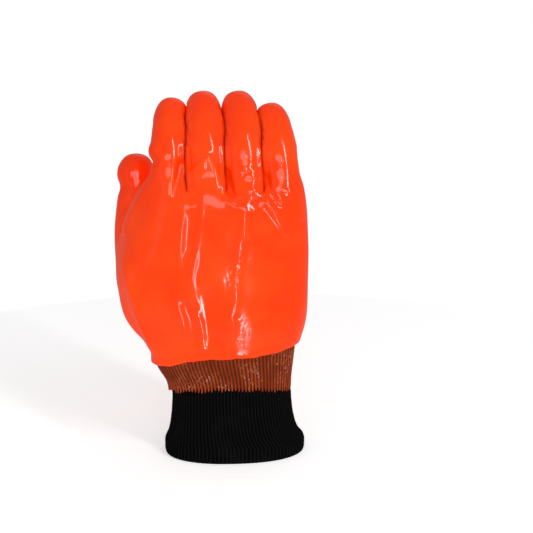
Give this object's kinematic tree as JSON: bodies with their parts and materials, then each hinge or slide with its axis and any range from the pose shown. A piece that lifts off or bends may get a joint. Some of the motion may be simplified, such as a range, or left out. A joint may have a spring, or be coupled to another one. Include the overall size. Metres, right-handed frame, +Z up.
{
  "type": "pvc coated work glove",
  "caption": "Right-hand work glove with a glossy orange PVC coat, curled fingers, a soaked brown band and a black rib-knit wrist, standing on its open cuff.",
  "frame": {"origin": "on the surface the glove stands on, under the middle of its bounding box", "axes": "+Z up from the cuff to the fingertips, +Y to the palm side, +X to the little finger side"},
  "size_m": [0.1422, 0.0898, 0.2627],
  "materials": {
    "pvc_coat": "gloss",
    "soaked_knit": "satin",
    "black_knit": "matte"
  },
  "bodies": {
    "root": {"coated_hand": "pvc_coat", "soaked_band": "soaked_knit", "knit_cuff": "black_knit"}
  },
  "joints": []
}
